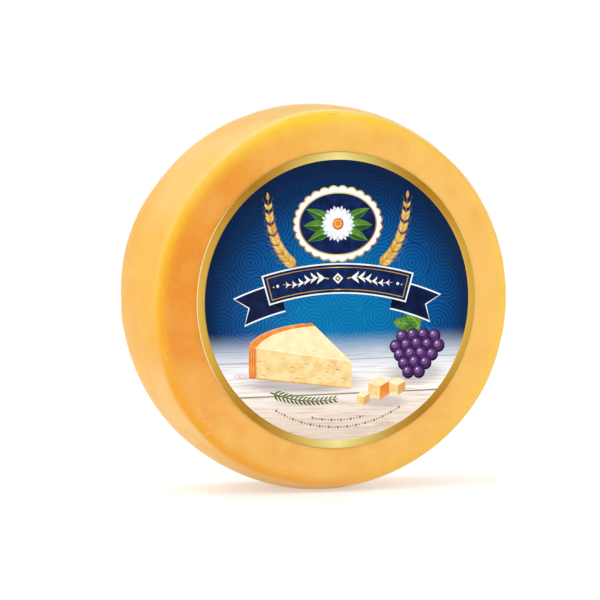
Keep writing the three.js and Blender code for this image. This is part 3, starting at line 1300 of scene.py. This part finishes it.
def groundMaterial():
    material, tree, shader = printMaterial("blueAndBoards")
    flat, across, up = printPlace(tree)
    wander = timesOf(tree, noiseOf(tree, flat, 0.03), backdrop["wander"])
    middle = backdrop["horizon"] + backdrop["wander"] / 2  # the noise is one half on the whole
    height = mathOf(tree, "ADD", up, wander)
    share = stepOf(tree, height, middle - backdrop["blend"], middle + backdrop["blend"])
    colour = mixOf(tree, share, boardGround(tree, flat, across, up), blueGround(tree, flat))
    feed(tree, shader.inputs["Base Color"], colour)
    lacquerWaves(tree, shader, flat)
    return material


label = {
    "ringInner": 86.3,  # where the gold edge starts
    "ringSlope": [(0, 1), (0.35, 0.3), (0.9, 0)],  # its inner slope: how far out, share of the field's depth
    "radius": 91.2,
    "thickness": 1.2,
    "edgeRound": 0.6,
    "edgeSteps": 6,
    "foilSteps": 3,  # how many of them the gold reaches round
    "fieldDepth": 0.10,  # how far the printed field lies below the gold edge
    "around": 288,
    "tuckedIn": 0.2,  # how far the card's back is pressed into the rind
    "merge": 0.002,  # points nearer together than this are joined
    "sharpFrom": 50,  # degrees
}


def layPrint():
    lay("ground", dotShape((0, 0), label["ringInner"], label["around"]))
    layBeads()
    layGrapes()
    laySprig()
    layWedge()
    for near, size, hasRind in cubes:
        layCube(near, size, hasRind)
    layWheat()
    layRibbon()
    layCrest()


def labelRim():
    # Radius, depth below the card's front and material, from the inside of the gold edge round to the back.
    slope, deepest = label["ringSlope"], label["fieldDepth"]
    rows = [(label["ringInner"] + out, deepest * share, "goldFoil") for out, share in slope]
    for i in range(label["edgeSteps"] + 1):
        turn = math.pi / 2 * i / label["edgeSteps"]
        rows.append((
            label["radius"] - label["edgeRound"] * (1 - math.sin(turn)),
            label["edgeRound"] * (1 - math.cos(turn)),
            "goldFoil" if i < label["foilSteps"] else "cardEdge",
        ))
    rows.append((label["radius"], label["thickness"] + label["tuckedIn"], "cardEdge"))
    return rows


def makeLabel():
    layPrint()
    points, faces = [], []
    for _, outline in printed:
        faces.append(list(range(len(points), len(points) + len(outline))))
        points += [Vector(p) for p in outline]
    flatPoints, _, flatFaces, _, _, owners = delaunay_2d_cdt(points, [], faces, 1, 1e-5, True)
    makers = {"ground": groundMaterial, "goldFoil": goldFoilMaterial, "cardEdge": cardEdgeMaterial}
    slots = [*makers, *sorted(inkTones)]
    build = bmesh.new()

    def corner(x, z, depth):
        return build.verts.new((axisX + x * mm, labelLow.y + depth * mm, axisZ + z * mm))

    def face(corners, ink):
        build.faces.new(corners).material_index = slots.index(ink)

    corners = [corner(p.x, p.y, label["fieldDepth"]) for p in flatPoints]
    for flatFace, owner in zip(flatFaces, owners):
        middle = sum((flatPoints[i] for i in flatFace), Vector((0, 0))) / len(flatFace)
        uppermost = next(k for k in sorted(owner, reverse=True) if holds(printed[k][1], middle))
        face([corners[i] for i in flatFace], printed[uppermost][0])
    around = label["around"]
    turns = [2 * math.pi * j / around for j in range(around)]
    rows = labelRim()
    rings = []
    for radius, depth, _ in rows:
        rings.append([corner(*roundFrom((0, 0), radius, turn), depth) for turn in turns])
    back = corner(0, 0, rows[-1][1])
    for j in range(around):
        after = (j + 1) % around
        for inner, outer, (_, _, ink) in zip(rings, rings[1:], rows[1:]):
            face((inner[j], outer[j], outer[after], inner[after]), ink)
        face((rings[-1][j], back, rings[-1][after]), "cardEdge")
    bmesh.ops.remove_doubles(build, verts=build.verts, dist=label["merge"] * mm)
    for made in build.faces:
        made.smooth = True
    mesh = bpy.data.meshes.new("printedLabel")
    build.to_mesh(mesh)
    build.free()
    mesh.set_sharp_from_angle(angle=math.radians(label["sharpFrom"]))
    for name in slots:
        mesh.materials.append(makers[name]() if name in makers else inkMaterial(name))
    return addObject("printedLabel", mesh)


printedLabel = makeLabel()
print("label made", len(printedLabel.data.polygons), "faces")


# Floor, lights and view

studio = {
    "floorRadius": 60,
    "floorTones": (0.60, 0.61),
    "floorGlow": 0.40,  # the table is lit from below, so that no hard shadow lies on it
    "worldStrength": 0.745,
    "backgroundStrength": 1.0,  # as the camera sees it
    "sky": (1.0, 1.0, 1.0, 1),
    "skyPanelFrom": (-0.55, -0.40, 0.75),  # the direction that the wide overhead light comes from
    "skyPanelStrength": 1.10,
    "skyPanelSpread": 70,  # degrees
}

lamps = [  # where each stands from the wheel's middle, its size and its power
    {"name": "backLamp", "place": (0.65, 1.10, 0.08), "size": (1.0, 0.4), "power": 3.6},
    {"name": "rightLamp", "place": (0.95, -0.45, 0.22), "size": (0.5, 0.8), "power": 2.45},
    {"name": "topLamp", "place": (-0.35, 0.45, 0.95), "size": (0.6, 0.6), "power": 3.0},
    {"name": "lowLamp", "place": (-0.10, -0.75, -0.07), "size": (0.7, 0.06), "power": 1.4},
    {"name": "lowSideLamp", "place": (-0.95, 0.02, -0.04), "size": (0.5, 0.12), "power": 1.15},
]


def makeFloor():
    build = bmesh.new()
    bmesh.ops.create_circle(build, cap_ends=True, segments=96, radius=studio["floorRadius"])
    mesh = bpy.data.meshes.new("studioFloor")
    build.to_mesh(mesh)
    build.free()
    material, tree, shader = newMaterial(
        "paleTable",
        Roughness=0.8,
        Specular_IOR_Level=0.1,
        Emission_Color=(1, 1, 1, 1),
        Emission_Strength=studio["floorGlow"],
    )
    speckle = noiseOf(tree, objectPlace(tree), 60, 3, 0.6)
    dark, light = [(tone, tone, tone, 1) for tone in studio["floorTones"]]
    feed(tree, shader.inputs["Base Color"], mixOf(tree, speckle, dark, light))
    mesh.materials.append(material)
    floor = addObject("studioFloor", mesh, (0, 0, wheelLow.z))


def makeWorld():
    world = bpy.data.worlds.new("studioLight")
    bpy.context.scene.world = world
    world.use_nodes = True
    tree = world.node_tree
    background = tree.nodes["Background"]
    background.inputs["Color"].default_value = studio["sky"]
    seen = addNode(tree, "ShaderNodeLightPath").outputs["Is Camera Ray"]
    strength = stepOf(tree, seen, 0, 1, studio["worldStrength"], studio["backgroundStrength"])
    feed(tree, background.inputs["Strength"], strength)


def makeLamps():
    panel = bpy.data.lights.new("skyPanel", "SUN")
    panel.energy = studio["skyPanelStrength"]
    panel.angle = math.radians(studio["skyPanelSpread"])
    addObject("skyPanel", panel, rotation=Vector(studio["skyPanelFrom"]).to_track_quat("Z", "Y"))
    for lamp in lamps:
        light = bpy.data.lights.new(lamp["name"], "AREA")
        light.shape = "RECTANGLE"
        light.size, light.size_y = lamp["size"]
        light.energy = lamp["power"]
        place = Vector(lamp["place"])
        addObject(lamp["name"], light, wheelMiddle + place, (-place).to_track_quat("-Z", "Y"))


makeFloor()
makeWorld()
makeLamps()
bpy.context.scene.view_settings.view_transform = "Standard"
print("floor and lamps placed")

for piece, node, slot in (
    (wheelRind, "cheese_wheel", "rind"),
    (printedLabel, "face_label", "label_print"),
):
    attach(piece, "root")
    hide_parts(node)

print("pieces ride on the frame")
